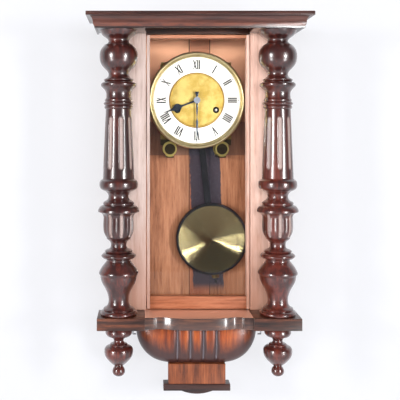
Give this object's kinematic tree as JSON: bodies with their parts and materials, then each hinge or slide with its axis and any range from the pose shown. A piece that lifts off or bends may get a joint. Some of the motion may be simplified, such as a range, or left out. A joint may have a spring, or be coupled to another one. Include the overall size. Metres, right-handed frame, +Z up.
{
  "type": "wall clock",
  "caption": "Small spring-driven wall regulator clock: pendulum case with a glazed door, turned columns, moulded cornice, fluted apron, white dial with brass centre and a visible pendulum.",
  "frame": {"origin": "centre of the hole in the hanger plate, in the wall plane", "axes": "+Z up, -Y to the front, +X to the right seen from the front"},
  "size_m": [0.39, 0.221, 0.6769],
  "materials": {
    "dark_walnut": "glossy varnish",
    "warm_walnut": "satin varnish",
    "pale_maple": "satin varnish",
    "ebonised_wood": "glossy",
    "white_enamel": "glossy",
    "brass": "polished",
    "steel": "satin",
    "blued_steel": "polished",
    "clear_glass": "clear"
  },
  "bodies": {
    "case": {"column_right": "dark_walnut", "column_left": "dark_walnut", "cornice_top": "dark_walnut", "cornice_front": "dark_walnut", "cornice_return_right": "dark_walnut", "cornice_return_left": "dark_walnut", "lower_block_right": "dark_walnut", "lower_block_left": "dark_walnut", "upper_block_right": "dark_walnut", "upper_block_left": "dark_walnut", "serpentine_board": "dark_walnut", "finial_right": "dark_walnut", "finial_left": "dark_walnut", "apron": "dark_walnut", "pendant_block": "dark_walnut", "platform": "dark_walnut", "face_stile_left": "pale_maple", "face_stile_right": "pale_maple", "face_head": "pale_maple", "back_plank_left": "warm_walnut", "back_plank_centre": "warm_walnut", "back_plank_right": "warm_walnut", "side_right": "warm_walnut", "side_left": "warm_walnut", "case_floor": "warm_walnut", "case_roof": "warm_walnut", "hanger_plate": "steel", "wire_hooks": "steel", "bell": "steel", "dial_centre": "brass", "bezel": "brass", "front_plate": "brass", "back_plate": "brass", "pillars": "brass", "suspension_cock": "brass", "movement_brackets": "brass", "dial_ring": "white_enamel"},
    "door": {"door_stile_left": "warm_walnut", "door_stile_right": "warm_walnut", "door_rail_bottom": "warm_walnut", "door_rail_top": "warm_walnut", "door_pivot_pins": "steel", "door_glass": "clear_glass"},
    "minute": {"centre_arbor": "brass", "minute_hand": "blued_steel"},
    "hour": {"hour_wheel": "brass", "hour_hand": "blued_steel"},
    "minute_wheel": {"minute_wheel": "brass"},
    "third_wheel": {"third_wheel": "brass"},
    "escape_wheel": {"escape_wheel": "brass"},
    "going_barrel": {"going_barrel": "brass"},
    "strike_barrel": {"strike_barrel": "brass"},
    "going_winding": {"going_winding_arbor": "steel"},
    "strike_winding": {"strike_winding_arbor": "steel"},
    "anchor": {"anchor": "steel"},
    "pendulum": {"pendulum_rod": "ebonised_wood", "bob": "ebonised_wood", "bob_face": "brass"},
    "rating_nut": {"rating_nut": "brass"},
    "hammer": {"hammer": "steel"}
  },
  "joints": [
    {"name": "door_hinge", "type": "hinge", "parent": "case", "child": "door", "pos_m": [0.0931, -0.1288, -0.2], "axis": [0, 0, 1], "range_deg": [0, 95]},
    {"name": "minute_turn", "type": "hinge", "parent": "case", "child": "minute", "pos_m": [0.003, -0.06, -0.0855], "axis": [0, 1, 0], "continuous": true},
    {"name": "hour_turn", "type": "hinge", "parent": "case", "child": "hour", "pos_m": [0.003, -0.06, -0.0855], "axis": [0, 1, 0], "continuous": true},
    {"name": "minute_wheel_turn", "type": "hinge", "parent": "case", "child": "minute_wheel", "pos_m": [0.01714, -0.06, -0.09964], "axis": [0, 1, 0], "continuous": true},
    {"name": "third_wheel_turn", "type": "hinge", "parent": "case", "child": "third_wheel", "pos_m": [-0.011, -0.06, -0.0632], "axis": [0, 1, 0], "continuous": true},
    {"name": "escape_wheel_turn", "type": "hinge", "parent": "case", "child": "escape_wheel", "pos_m": [0.003, -0.06, -0.0466], "axis": [0, 1, 0], "continuous": true},
    {"name": "going_barrel_turn", "type": "hinge", "parent": "case", "child": "going_barrel", "pos_m": [0.039, -0.06, -0.1035], "axis": [0, 1, 0], "continuous": true},
    {"name": "strike_barrel_turn", "type": "hinge", "parent": "case", "child": "strike_barrel", "pos_m": [-0.033, -0.06, -0.1035], "axis": [0, 1, 0], "continuous": true},
    {"name": "going_winding_turn", "type": "hinge", "parent": "case", "child": "going_winding", "pos_m": [0.039, -0.06, -0.1035], "axis": [0, 1, 0], "continuous": true},
    {"name": "strike_winding_turn", "type": "hinge", "parent": "case", "child": "strike_winding", "pos_m": [-0.033, -0.06, -0.1035], "axis": [0, 1, 0], "continuous": true},
    {"name": "pendulum_swing", "type": "hinge", "parent": "case", "child": "pendulum", "pos_m": [0.003, -0.023, -0.0235], "axis": [0, 1, 0], "range_deg": [-0.5, 12.5]},
    {"name": "anchor_swing", "type": "hinge", "parent": "case", "child": "anchor", "pos_m": [0.003, -0.037, -0.0235], "axis": [0, 1, 0], "range_deg": [-0.5, 12.5]},
    {"name": "rating_nut_turn", "type": "hinge", "parent": "pendulum", "child": "rating_nut", "pos_m": [0.003, -0.023, -0.0235], "axis": [-0.1045, 0, 0.9945], "continuous": true},
    {"name": "hammer_swing", "type": "hinge", "parent": "case", "child": "hammer", "pos_m": [-0.055, -0.037, -0.0555], "axis": [0, 1, 0], "range_deg": [-25, 3.5], "stiffness_Nm_per_rad": 0.02}
  ],
  "couplings": [
    {"joint": "hour_turn", "follows": "minute_turn", "ratio": 0.083333},
    {"joint": "minute_wheel_turn", "follows": "minute_turn", "ratio": -0.33333},
    {"joint": "third_wheel_turn", "follows": "minute_turn", "ratio": -5.5},
    {"joint": "escape_wheel_turn", "follows": "minute_turn", "ratio": 29.7},
    {"joint": "going_barrel_turn", "follows": "minute_turn", "ratio": -0.375},
    {"joint": "anchor_swing", "follows": "pendulum_swing", "ratio": 1}
  ]
}
